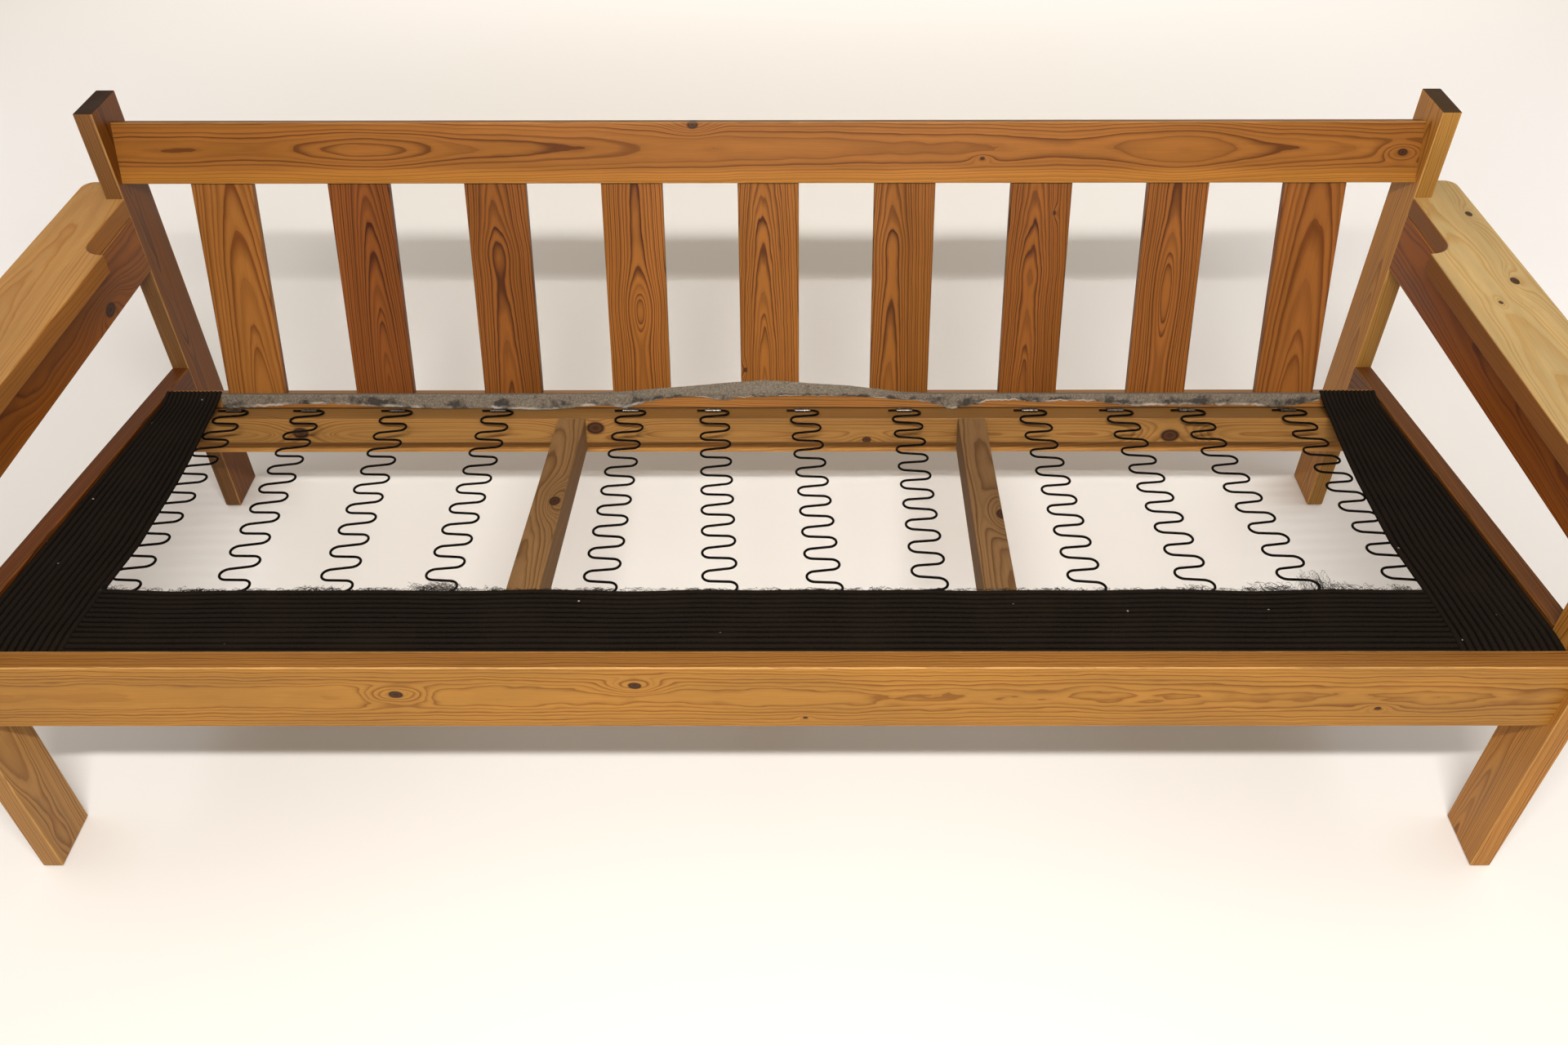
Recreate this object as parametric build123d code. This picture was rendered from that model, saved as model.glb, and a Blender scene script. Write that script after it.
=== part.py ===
from build123d import *
import math
import os

# A solid pine sofa frame with a sprung seat, its cushions off. X runs to the right, Y to the rear
# and Z up. The origin is on the floor, in the middle of the object's width and depth. Lengths are
# in millimetres and angles in degrees.

# Boards
inner_width = 1900.0            # clear width between the two side frames
frame_depth = 822.0             # front face of the front posts to the back of the rear posts
board_thickness = 27.0
board_width = 91.0              # aprons and side rails
board_round = 2.0               # rounding of the long arrises
post_depth = 82.0
post_foot_chamfer = 3.0
rear_post_height = 733.0

# Arm boards
arm_height = 602.0
arm_thickness = 30.0
arm_width = 115.0
arm_inner_overhang = 34.0
arm_front_overhang = 12.0
arm_rear_setback = 26.0         # from the back of the rear post to the arm's rear end
arm_notch_length = 125.0        # straight part of the notch beside the rear post
arm_front_corner = 20.0
arm_rear_corner = 18.0
arm_edge_round = 3.0

# Seat and back
seat_angle = 7.5
back_angle = 18.5
side_rail_front_height = 386.0
front_rail_width = 106.0
front_rail_height = 389.0
front_rail_setback = 11.0
lower_rail_width = 95.5
top_rail_width = 87.0
top_rail_setback = 12.0         # its lower front arris, behind the rear post's front face
slat_clear_length = 325.4       # between the two back rails
slat_width = 90.5
slat_thickness = 14.0
slat_pitch = 202.0
slat_housing = 15.0             # length housed in each rail
slat_count = 9

# Bearers, braces and side battens
bearer_depth = 50.0
bearer_height = 39.0
rear_bearer_drop = 22.0         # from the rail's top down to the bearer's top
brace_thickness = 42.0
brace_height = 50.0
left_brace_places = (-305.0, -304.0)    # at the rear bearer and at the front bearer
right_brace_places = (311.0, 297.0)
batten_thickness = 20.0
batten_height = 30.0

# Springs
spring_count = 12
wire_diameter = 3.4
spring_half_width = 21.8        # from the spring's middle to the centre of its outer loops
spring_run_advance = 5.0        # how far a run moves forwards from one side to the other
spring_tail = 5.0
spring_end_length = 24.8        # from the wire in the clip to the first bend of the spring
rear_clip_setback = 20.0        # from the lower back rail's front face to the wire in the clip
middle_half_pitches = 21
front_clip_setback = 16.4       # from the front rail's back to the wire in the clip
rear_spring_margin = 127.0      # from the side rail to the outermost springs, at the rear
front_spring_margin = 140.5
loop_fill = 0.98                # how much of the room between two runs a loop's bends take up
rear_spring_shifts = [-12, -44, -56, -48, 9, -12, -22, -13, 33, 17, -21, -13]
front_spring_shifts = [5, 1, -17, -38, 16, 27, 11, -9, 43, 35, 24, 5]
spring_slacks = [9, 9, 7, 7, 2, 3, 0, 17, 2, 9, 8, 10]  # rearward creep of the middle loops

# Spring clips and their nails
clip_sheet = 1.2
clip_width = 24.0
clip_shift = -2.0               # from the spring's middle, away from its first loop
clip_flange_length = 9.0
nail_diameter = 2.2
nail_length = 18.0
nail_head_diameter = 5.0
nail_head_thickness = 1.0
nail_spread = 7.0

# Seat cover
strip_thickness = 3.0
strip_clearance = 0.3
front_strip_depth = 121.5
seam_front_margin = 126.0       # from the side rail to the seam, at the front rail
seam_rear_margin = 118.0        # the same at the front strip's rear edge
side_strip_middle_width = 125.0
side_strip_rear_width = 88.0
side_strip_end_gap = 22.0       # where the side strips start to climb on to the lower back rail
lining_thickness = 1.2
lining_fall = 15.0              # how far the lining hangs down the lower back rail

# Dowels and screws
dowel_diameter = 8.0
dowel_length = 36.0
dowel_half_spread = 22.0
brace_dowel_half_spread = 12.0
arm_dowel_count = 5
screw_diameter = 5.0
screw_head_diameter = 9.5
screw_head_height = 4.0
bearer_screw_count = 6
bearer_screw_margin = 100.0
bearer_screw_length = 70.0
batten_screw_count = 3
batten_screw_margin = 60.0
batten_screw_length = 40.0

# Places that follow from the dimensions above
inner_face = inner_width / 2
outer_face = inner_face + board_thickness
board_middle = inner_face + board_thickness / 2
front = (arm_front_overhang - frame_depth) / 2
rear = front + frame_depth
post_back = front + post_depth
rear_post_front = rear - post_depth
arm_underside = arm_height - arm_thickness
seat_slope = math.tan(math.radians(seat_angle))
wire_radius = wire_diameter / 2
wire_height = wire_radius + clip_sheet
apron_middle_height = arm_underside - board_width / 2


def side_rail_top(y):
    """Height of the side rails' top edge."""
    return side_rail_front_height - (y - post_back) * seat_slope


def block(x_range, y_range, z_range):
    """A box between two limits on each axis."""
    limits = (x_range, y_range, z_range)
    sizes = [high - low for low, high in limits]
    centre = [(low + high) / 2 for low, high in limits]
    return Pos(*centre) * Box(*sizes)


def prism(points, x_range):
    """An outline in Y and Z, carried from one X to another."""
    face = Plane.YZ * Polygon(*points, align=None)
    length = x_range[1] - x_range[0]
    return Pos(x_range[0], 0, 0) * extrude(face, amount=length, dir=(1, 0, 0))


def rod(centre, direction, diameter, length):
    """A round bar about its own middle."""
    return Plane(origin=centre, z_dir=direction) * Cylinder(diameter / 2, length)


def round_long_edges(board, radius=board_round):
    """Rounds the arrises that run along a board, and leaves its ends square."""
    longest = max(edge.length for edge in board.edges())
    return fillet(board.edges().filter_by(lambda edge: edge.length > longest / 2), radius)


def even_places(low, high, count):
    """Places at equal steps, the first at low and the last at high."""
    return [low + (high - low) * index / (count - 1) for index in range(count)]


def write(name, *solids):
    """Writes one node, as one solid or a group of separate solids."""
    shape = solids[0] if len(solids) == 1 else Compound(children=list(solids))
    export_step(shape, f"parts/{name}.step")


def write_pair(name, *solids):
    """Writes a right-hand node and its mirror image on the left."""
    write(f"right_{name}", *solids)
    write(f"left_{name}", *[mirror(solid, Plane.YZ) for solid in solids])


# The back leans about the lower back rail's top front arris, which is level with the side rails.
# In the back's own frame Y goes through the boards to the rear and Z goes up along the slats.
back_lean = math.radians(back_angle)
back_base_y = rear_post_front + top_rail_setback - slat_clear_length * math.sin(back_lean)
back = Pos(0, back_base_y, side_rail_top(back_base_y)) * Rot(-back_angle, 0, 0)


def back_point(depth, height):
    """Y and Z of a point given in the back's own frame."""
    point = (back * Pos(0, depth, height)).position
    return point.Y, point.Z


# The springs' line goes from the rear clips up to the first bend, along the seat to the second
# bend and level to the front clips. The front bearer's height follows from it.
rear_clip_depth = -rear_clip_setback
rear_clip_y, rear_clip_z = back_point(rear_clip_depth, wire_height - rear_bearer_drop)
rear_bend_y, rear_bend_z = back_point(
    rear_clip_depth - spring_end_length, wire_height - rear_bearer_drop
)
front_rail_back = front + front_rail_setback + board_thickness
front_clip_y = front_rail_back + front_clip_setback
front_bend_y = front_clip_y + spring_end_length
front_clip_z = rear_bend_z + (rear_bend_y - front_bend_y) * seat_slope
front_bearer_top = front_clip_z - wire_height
front_bearer_back = front_rail_back + bearer_depth


def spring_line(slack):
    """Y and Z of each run of a spring, from the rear clip to the front clip.

    The loops are closer together at the rear, which moves the middle ones back by the slack.
    """
    length = rear_bend_y - front_bend_y
    line = [(rear_clip_y, rear_clip_z)]
    for even_share in even_places(0, 1, middle_half_pitches + 1):
        share = even_share - 4 * even_share * (1 - even_share) * slack / length
        rise = front_clip_z - rear_bend_z
        line.append((rear_bend_y - length * share, rear_bend_z + rise * share))
    return [*line, (front_clip_y, front_clip_z)]


def spring_places(margin, shifts):
    """X of each spring: evenly spaced, with the unevenness of hand fitting."""
    even = even_places(margin - inner_face, inner_face - margin, spring_count)
    return [place + shift for place, shift in zip(even, shifts)]


rear_spring_places = spring_places(rear_spring_margin, rear_spring_shifts)
front_spring_places = spring_places(front_spring_margin, front_spring_shifts)


# Dowels. Each is a solid of its own in a hole of the same size.

def dowel(centre, direction):
    return rod(centre, direction, dowel_diameter, dowel_length)


def side_frame_dowels():
    """Two dowels in each end of the right side rail and arm apron."""
    dowels = []
    for joint_y in (post_back, rear_post_front):
        for middle in (side_rail_top(joint_y) - board_width / 2, apron_middle_height):
            for shift in (-dowel_half_spread, dowel_half_spread):
                dowels.append(dowel((board_middle, joint_y, middle + shift), (0, 1, 0)))
    return dowels


def arm_dowels():
    """Upright dowels from the right front post and arm apron into the arm board."""
    first = (front + post_back) / 2
    last = rear_post_front - post_depth / 2
    places = even_places(first, last, arm_dowel_count)
    return [dowel((board_middle, y, arm_underside), (0, 0, 1)) for y in places]


def cross_rail_dowels(side):
    """Two dowels in each end of the three cross rails, on one side of the frame."""
    x = side * inner_face
    front_rail_middle = front_rail_height - front_rail_width / 2
    leaning = [-lower_rail_width / 2, slat_clear_length + top_rail_width / 2]
    dowels = []
    for shift in (-dowel_half_spread, dowel_half_spread):
        front_centre = (x, front_rail_back - board_thickness / 2, front_rail_middle + shift)
        dowels.append(dowel(front_centre, (1, 0, 0)))
        for middle in leaning:
            y, z = back_point(board_thickness / 2, middle + shift)
            dowels.append(dowel((x, y, z), (1, 0, 0)))
    return dowels


def brace_dowels(places):
    """Two dowels in each end of a brace."""
    along = (0, math.cos(math.radians(seat_angle)), -math.sin(math.radians(seat_angle)))
    ends = (
        back_point(-bearer_depth, -rear_bearer_drop - bearer_height / 2),
        (front_bearer_back, front_bearer_top - bearer_height / 2),
    )
    dowels = []
    for x, (y, z) in zip(places, ends):
        for shift in (-brace_dowel_half_spread, brace_dowel_half_spread):
            dowels.append(dowel((x + shift, y, z), along))
    return dowels


right_frame_dowels = side_frame_dowels()
right_arm_dowels = arm_dowels()
right_cross_dowels = cross_rail_dowels(1)
all_cross_dowels = right_cross_dowels + cross_rail_dowels(-1)
all_brace_dowels = brace_dowels(left_brace_places) + brace_dowels(right_brace_places)


# Countersunk screws

def screw(head_centre, direction, length):
    """A countersunk screw whose head lies flush at head_centre and which points along direction."""
    head = Pos(0, 0, screw_head_height / 2) * Cone(
        screw_head_diameter / 2, screw_diameter / 2, screw_head_height
    )
    shank_length = length - screw_head_height
    shank = Pos(0, 0, screw_head_height + shank_length / 2) * Cylinder(
        screw_diameter / 2, shank_length
    )
    return Plane(origin=head_centre, z_dir=direction) * (head + shank)


def bearer_screws():
    """Screws through the lower back rail and through the front bearer."""
    places = even_places(
        bearer_screw_margin - inner_face, inner_face - bearer_screw_margin, bearer_screw_count
    )
    rear_y, rear_z = back_point(board_thickness, -rear_bearer_drop - bearer_height / 2)
    rear_direction = (0, -math.cos(back_lean), math.sin(back_lean))
    front_z = front_bearer_top - bearer_height / 2
    rear_screws = [screw((x, rear_y, rear_z), rear_direction, bearer_screw_length) for x in places]
    front_screws = [
        screw((x, front_bearer_back, front_z), (0, -1, 0), bearer_screw_length) for x in places
    ]
    return rear_screws, front_screws


rear_bearer_screws, front_bearer_screws = bearer_screws()

# The side battens lie under the seat cover's side strips, between the two bearers.
# Their tops are level with the springs' wire.
cover_drop = side_rail_top(rear_bend_y) - rear_bend_z - wire_radius
batten_rear_y = back_point(-bearer_depth, -rear_bearer_drop)[0]


def batten_screws():
    """Screws through the right side batten into the side rail."""
    places = even_places(
        front_bearer_back + batten_screw_margin,
        batten_rear_y - batten_screw_margin,
        batten_screw_count,
    )
    head_x = inner_face - batten_thickness
    screws = []
    for y in places:
        z = side_rail_top(y) - cover_drop - batten_height / 2
        screws.append(screw((head_x, y, z), (1, 0, 0), batten_screw_length))
    return screws


right_batten_screws = batten_screws()


# Side frames. The right one is modelled, and the left one is its mirror image.

def front_post():
    post = block((inner_face, outer_face), (front, post_back), (0, arm_underside))
    post = round_long_edges(chamfer(post.edges().group_by(Axis.Z)[0], post_foot_chamfer))
    return post - right_frame_dowels - right_arm_dowels - right_cross_dowels


def rear_post():
    post = block((inner_face, outer_face), (rear_post_front, rear), (0, rear_post_height))
    post = round_long_edges(chamfer(post.edges().group_by(Axis.Z)[0], post_foot_chamfer))
    post = fillet(post.edges().group_by(Axis.Z)[-1], board_round / 2)
    return post - right_frame_dowels - right_cross_dowels


def arm_apron():
    apron = block(
        (inner_face, outer_face),
        (post_back, rear_post_front),
        (arm_underside - board_width, arm_underside),
    )
    return round_long_edges(apron) - right_frame_dowels - right_arm_dowels


def side_rail():
    """A board that falls to the rear, with upright ends against the posts."""
    front_top = side_rail_top(post_back)
    rear_top = side_rail_top(rear_post_front)
    width = board_width / math.cos(math.radians(seat_angle))
    outline = [
        (post_back, front_top),
        (rear_post_front, rear_top),
        (rear_post_front, rear_top - width),
        (post_back, front_top - width),
    ]
    rail = round_long_edges(prism(outline, (inner_face, outer_face)))
    return rail - right_frame_dowels - right_cross_dowels - right_batten_screws


def arm_board():
    """A wide board, notched beside the rear post and running past its outer face."""
    inner_edge = inner_face - arm_inner_overhang
    outer_edge = inner_edge + arm_width
    start = front - arm_front_overhang
    end = rear - arm_rear_setback
    notch_start = rear_post_front - arm_notch_length
    height = (arm_underside, arm_height)
    board = block((inner_edge, outer_edge), (start, end), height)
    corners = board.edges().filter_by(Axis.Z).sort_by(Axis.Y)
    board = fillet(corners[:2], arm_front_corner)
    outer_rear = board.edges().filter_by(Axis.Z).group_by(Axis.Y)[-1].sort_by(Axis.X)[-1]
    board = fillet(outer_rear, arm_rear_corner)
    notch_curve = rod(
        (inner_edge, notch_start, arm_height), (0, 0, 1), 2 * arm_inner_overhang, 2 * arm_height
    )
    board -= block((inner_edge, inner_face), (notch_start, rear), height) + notch_curve
    board -= block((inner_edge, outer_face), (rear_post_front, rear), height)
    return fillet(arm_edges(board), arm_edge_round) - right_arm_dowels


def arm_edges(board):
    """The top and bottom arrises, apart from those against the rear post."""
    level = board.edges().group_by(Axis.Z)
    return (level[0] + level[-1]).filter_by(
        lambda edge: (edge @ 0.5).Y < rear_post_front - arm_edge_round
        or (edge @ 0.5).X > outer_face + arm_edge_round
    )


# Cross rails, slats and bearers

def full_width():
    return -inner_face, inner_face


def slat(place):
    """A back slat with its two housed ends."""
    slat_front = (board_thickness - slat_thickness) / 2
    return back * round_long_edges(
        block(
            (place - slat_width / 2, place + slat_width / 2),
            (slat_front, slat_front + slat_thickness),
            (-slat_housing, slat_clear_length + slat_housing),
        )
    )


slats = [slat((index - (slat_count - 1) / 2) * slat_pitch) for index in range(slat_count)]


def front_rail():
    rail = block(
        full_width(),
        (front_rail_back - board_thickness, front_rail_back),
        (front_rail_height - front_rail_width, front_rail_height),
    )
    return round_long_edges(rail) - all_cross_dowels - front_bearer_screws


def lower_back_rail():
    rail = block(full_width(), (0, board_thickness), (-lower_rail_width, 0))
    return back * round_long_edges(rail) - slats - all_cross_dowels - rear_bearer_screws


def top_back_rail():
    rail = block(
        full_width(), (0, board_thickness), (slat_clear_length, slat_clear_length + top_rail_width)
    )
    return back * round_long_edges(rail) - slats - all_cross_dowels


def rear_spring_bearer(nails):
    bearer = block(
        full_width(), (-bearer_depth, 0), (-rear_bearer_drop - bearer_height, -rear_bearer_drop)
    )
    bearer = back * round_long_edges(bearer, board_round / 2)
    return bearer - all_brace_dowels - rear_bearer_screws - nails


def front_spring_bearer(nails):
    bearer = block(
        full_width(),
        (front_rail_back, front_bearer_back),
        (front_bearer_top - bearer_height, front_bearer_top),
    )
    bearer = round_long_edges(bearer, board_round / 2)
    return bearer - all_brace_dowels - front_bearer_screws - nails


def bearer_face_y(z):
    """Y of the rear bearer's sloping front face at a height."""
    top_y, top_z = back_point(-bearer_depth, -rear_bearer_drop)
    return top_y + (z - top_z) * math.tan(back_lean)


def brace(places):
    """A batten on edge from the rear bearer to the front one, its top level with theirs."""
    top_y, top_z = back_point(-bearer_depth, -rear_bearer_drop)
    fall = (front_bearer_top - top_z) / (top_y - front_bearer_back)
    height = brace_height / math.cos(math.atan(fall))
    rear_length = height / (math.cos(back_lean) + fall * math.sin(back_lean))
    outline = [
        (front_bearer_back, front_bearer_top),
        (top_y, top_z),
        back_point(-bearer_depth, -rear_bearer_drop - rear_length),
        (front_bearer_back, front_bearer_top - height),
    ]
    rear_x, front_x = places
    half = brace_thickness / 2
    plan = Polygon(
        (front_x - half, front_bearer_back),
        (front_x + half, front_bearer_back),
        (rear_x + half, top_y),
        (rear_x - half, top_y),
        align=None,
    )
    solid = prism(outline, full_width()) & extrude(plan, amount=arm_height)
    return round_long_edges(solid) - all_brace_dowels


def side_batten():
    front_top = side_rail_top(front_bearer_back) - cover_drop
    rear_top = side_rail_top(batten_rear_y) - cover_drop
    outline = [
        (front_bearer_back, front_top),
        (bearer_face_y(rear_top), rear_top),
        (bearer_face_y(rear_top - batten_height), rear_top - batten_height),
        (front_bearer_back, front_top - batten_height),
    ]
    batten = prism(outline, (inner_face - batten_thickness, inner_face))
    return round_long_edges(batten, board_round / 2) - right_batten_screws


# Springs, clips and nails

def beside(line, index, distance):
    """Y and Z of a point at a distance from a run, along the spring towards its front end."""
    here = line[index]
    there = line[index + 1] if distance > 0 else line[index - 1]
    share = abs(distance) / math.dist(here, there)
    return tuple(a + (b - a) * share for a, b in zip(here, there))


def spring_points(rear_x, front_x, slack):
    """The corners of the wire's line: each run starts and ends at one, from the rear forwards.

    A run moves forwards as it crosses, and it lies square to a spring that leans sideways.
    """
    line = spring_line(slack)
    last = len(line) - 1
    lean = (front_x - rear_x) / (rear_clip_y - front_clip_y)
    tail = spring_half_width + spring_tail
    points = [(rear_x - tail, *line[0]), (rear_x + spring_half_width, *line[0])]
    for index in range(1, last):
        middle = rear_x + (front_x - rear_x) * index / last
        side = spring_half_width if index % 2 == 0 else -spring_half_width
        step = spring_run_advance / 2 - side * lean
        points.append((middle - side, *beside(line, index, -step)))
        points.append((middle + side, *beside(line, index, step)))
    points += [(front_x + spring_half_width, *line[-1]), (front_x - tail, *line[-1])]
    return points


def loop_radii(points):
    """The bend radius at each corner, so that the two bends of a loop nearly meet."""
    radii = []
    for index in range(1, len(points) - 1):
        before, here, after = (Vector(*point) for point in points[index - 1:index + 2])
        loop = after - here if index % 2 else here - before
        turn = math.radians((here - before).get_angle(after - here))
        radii.append(loop_fill * loop.length / 2 / math.tan(turn / 2))
    return radii


def spring(rear_x, front_x, slack):
    points = spring_points(rear_x, front_x, slack)
    path = FilletPolyline(*points, radius=loop_radii(points))
    section = Plane(origin=path @ 0, z_dir=path % 0) * Circle(wire_radius)
    return sweep(section, path)


def clip_section():
    """A folded sheet round the wire, with a double flange for its nails."""
    half = wire_height
    fold = RectangleRounded(2 * half, 2 * half, half * 0.9)
    flange = Pos((half + clip_flange_length) / 2, clip_sheet - half) * Rectangle(
        half + clip_flange_length, 2 * clip_sheet
    )
    return fold + flange - Circle(wire_radius)


def clip_nails():
    """The two nails of a clip, about the wire's centre."""
    y = wire_height + clip_flange_length / 2
    flange_top = 2 * clip_sheet - wire_height
    nails = []
    for x in (clip_shift - nail_spread, clip_shift + nail_spread):
        head_middle = (x, y, flange_top + nail_head_thickness / 2)
        shank_middle = (x, y, flange_top - nail_length / 2)
        head = rod(head_middle, (0, 0, 1), nail_head_diameter, nail_head_thickness)
        nails.append(head + rod(shank_middle, (0, 0, 1), nail_diameter, nail_length))
    return nails


def spring_clip():
    """A clip about the wire's centre, with its flange towards +Y."""
    body = extrude(Plane.YZ * clip_section(), amount=clip_width / 2, both=True)
    return Pos(clip_shift, 0, 0) * body - clip_nails()


def clip_frames():
    """Where each clip's wire is, on the rear bearer and on the front bearer."""
    rear_frames = [
        back * Pos(x, rear_clip_depth, wire_height - rear_bearer_drop) for x in rear_spring_places
    ]
    front_frames = [
        Pos(x + 2 * clip_shift, front_clip_y, front_clip_z) * Rot(0, 0, 180)
        for x in front_spring_places
    ]
    return rear_frames, front_frames


# Seat cover

def bent_sheet(points, thickness, x_range):
    """A sheet whose underside follows points in Y and Z, with its thickness upright."""
    top = [(y, z + thickness) for y, z in reversed(points)]
    return prism([*points, *top], x_range)


def cover_points():
    """Underside of the corduroy: level over the front clips, then down along the springs."""
    level_z = front_clip_z + wire_height + strip_clearance
    slope_start = front_bend_y - clip_sheet / seat_slope
    climb_y = back_base_y - side_strip_end_gap
    climb_z = side_rail_top(climb_y) - cover_drop + strip_clearance
    return [
        (front_rail_back + strip_clearance, level_z),
        (slope_start, level_z),
        (climb_y, climb_z),
        back_point(-strip_clearance, 2 * strip_clearance),
        back_point((board_thickness - slat_thickness) / 2 - strip_clearance, strip_clearance),
    ]


front_strip_rear = front_rail_back + front_strip_depth
seam_front_x = inner_face - seam_front_margin
seam_rear_x = inner_face - seam_rear_margin


def corduroy_front():
    """The front strip, between the seams with the two side strips."""
    front_y = front_rail_back + strip_clearance
    plan = Polygon(
        (-seam_front_x, front_y),
        (seam_front_x, front_y),
        (seam_rear_x, front_strip_rear),
        (-seam_rear_x, front_strip_rear),
        align=None,
    )
    sheet = bent_sheet(cover_points(), strip_thickness, full_width())
    return sheet & extrude(plan, amount=arm_height)


def side_strip():
    """The right strip: its inner edge swings in towards the middle of the seat."""
    outer_x = inner_face - strip_clearance
    rear_y = back_base_y + board_thickness
    middle_y = (front_strip_rear + back_base_y) / 2
    rear_x = inner_face - side_strip_rear_width
    plan = Polygon(
        (seam_front_x + strip_clearance, front),
        (outer_x, front),
        (outer_x, rear_y),
        (rear_x, rear_y),
        (rear_x, back_base_y - side_strip_end_gap),
        (inner_face - side_strip_middle_width, middle_y),
        (seam_rear_x + strip_clearance, front_strip_rear),
        align=None,
    )
    sheet = bent_sheet(cover_points(), strip_thickness, full_width())
    return sheet & extrude(plan, amount=arm_height)


def lining_remnant():
    """The torn strip of lining over the lower back rail's top edge, in front of the slats."""
    slat_front = (board_thickness - slat_thickness) / 2
    gap = strip_clearance
    outer = gap + lining_thickness
    half = inner_face - side_strip_rear_width - gap
    top = block((-half, half), (-outer, slat_front - gap), (gap, outer))
    fall = block((-half, half), (-outer, -gap), (-lining_fall, outer))
    return back * (top + fall)


# Nodes

write_pair("front_post", front_post())
write_pair("rear_post", rear_post())
write_pair("arm_apron", arm_apron())
write_pair("arm_board", arm_board())
write_pair("side_rail", side_rail())
write_pair("side_batten", side_batten())
write_pair("frame_dowels", *right_frame_dowels)
write_pair("arm_dowels", *right_arm_dowels)
write_pair("batten_screws", *right_batten_screws)
write("front_rail", front_rail())
write("lower_back_rail", lower_back_rail())
write("top_back_rail", top_back_rail())
for number, solid in enumerate(slats, start=1):
    write(f"back_slat_{number}", solid)

rear_clip_frames, front_clip_frames = clip_frames()
rear_nails = [frame * nail for frame in rear_clip_frames for nail in clip_nails()]
front_nails = [frame * nail for frame in front_clip_frames for nail in clip_nails()]
write("rear_spring_bearer", rear_spring_bearer(rear_nails))
write("front_spring_bearer", front_spring_bearer(front_nails))
write("left_brace", brace(left_brace_places))
write("right_brace", brace(right_brace_places))
springs = zip(rear_spring_places, front_spring_places, spring_slacks)
for number, places in enumerate(springs, start=1):
    write(f"seat_spring_{number}", spring(*places))
clip = spring_clip()
write("rear_spring_clips", *[frame * clip for frame in rear_clip_frames])
write("front_spring_clips", *[frame * clip for frame in front_clip_frames])
write("rear_clip_nails", *rear_nails)
write("front_clip_nails", *front_nails)

write("cross_rail_dowels", *all_cross_dowels)
write("brace_dowels", *all_brace_dowels)
write("rear_bearer_screws", *rear_bearer_screws)
write("front_bearer_screws", *front_bearer_screws)
write("corduroy_front_strip", corduroy_front())
write_pair("corduroy_strip", side_strip())
write("lining_remnant", lining_remnant())
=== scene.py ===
import math
import random

import bpy
from mathutils import Matrix, Vector, noise


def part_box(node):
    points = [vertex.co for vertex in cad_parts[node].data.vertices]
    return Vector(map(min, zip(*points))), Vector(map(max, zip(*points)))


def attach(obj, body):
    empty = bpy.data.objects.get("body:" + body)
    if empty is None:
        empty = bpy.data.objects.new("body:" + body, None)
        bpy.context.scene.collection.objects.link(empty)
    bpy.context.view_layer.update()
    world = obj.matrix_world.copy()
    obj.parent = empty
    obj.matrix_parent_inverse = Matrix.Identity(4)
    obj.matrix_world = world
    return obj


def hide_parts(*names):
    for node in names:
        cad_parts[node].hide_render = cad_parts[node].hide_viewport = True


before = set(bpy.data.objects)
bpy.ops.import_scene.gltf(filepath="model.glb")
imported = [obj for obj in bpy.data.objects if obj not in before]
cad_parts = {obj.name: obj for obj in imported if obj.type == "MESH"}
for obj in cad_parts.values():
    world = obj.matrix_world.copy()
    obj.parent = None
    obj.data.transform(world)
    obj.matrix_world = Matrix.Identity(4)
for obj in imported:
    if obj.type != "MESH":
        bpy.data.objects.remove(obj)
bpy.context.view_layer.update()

# The camera looks down on the sofa from in front of its middle, as someone standing does.
# Its place, tilt and focal length come from matching the posts' and rails' corners. Its place is
# in metres, and its tilt, turn and roll are in degrees.
sensor_width = 36.0
image_width = 1920
focal_pixels = 1570.0
camera_place = (0.0454, -1.385, 1.5075)
camera_tilt = 41.52
camera_turn = 0.17
camera_roll = -0.15
camera_shift_x = -0.0078
camera_shift_y = -0.0066

camera_data = bpy.data.cameras.new("camera")
camera_data.sensor_width = sensor_width
camera_data.lens = focal_pixels * sensor_width / image_width
camera_data.shift_x = camera_shift_x
camera_data.shift_y = camera_shift_y
camera = bpy.data.objects.new("camera", camera_data)
camera.matrix_world = (
    Matrix.Translation(camera_place)
    @ Matrix.Rotation(math.radians(camera_turn), 4, "Z")
    @ Matrix.Rotation(math.radians(90 - camera_tilt), 4, "X")
    @ Matrix.Rotation(math.radians(camera_roll), 4, "Z")
)
bpy.context.scene.collection.objects.link(camera)
bpy.context.scene.camera = camera


# The floor is a studio's white seamless sheet, matt and almost without texture.
# It is wide enough to fill the view, and rises far behind into a soft curve.
def linear(hexcode):
    """A colour's linear values from its sRGB hex code."""
    parts = [int(hexcode[start:start + 2], 16) / 255 for start in (1, 3, 5)]
    parts = [part / 12.92 if part <= 0.04045 else ((part + 0.055) / 1.055) ** 2.4 for part in parts]
    return (*parts, 1.0)


def add(tree, kind, inputs=None, stops=None, **settings):
    """Adds one node with its settings, its inputs as values or links, and a ramp's colour stops."""
    made = tree.nodes.new(kind)
    for name, value in settings.items():
        setattr(made, name, value)
    for key, value in (inputs or {}).items():
        if isinstance(value, bpy.types.NodeSocket):
            tree.links.new(value, made.inputs[key])
        else:
            made.inputs[key].default_value = value
    for number, (place, shade) in enumerate(stops or ()):
        if number > 1:
            made.color_ramp.elements.new(place)
        made.color_ramp.elements[number].position = place
        made.color_ramp.elements[number].color = linear(shade)
    return made.outputs[0] if made.outputs else None


def new_material(name):
    """An empty node material and its tree."""
    material = bpy.data.materials.new(name)
    material.use_nodes = True
    material.node_tree.nodes.clear()
    return material, material.node_tree


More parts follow.
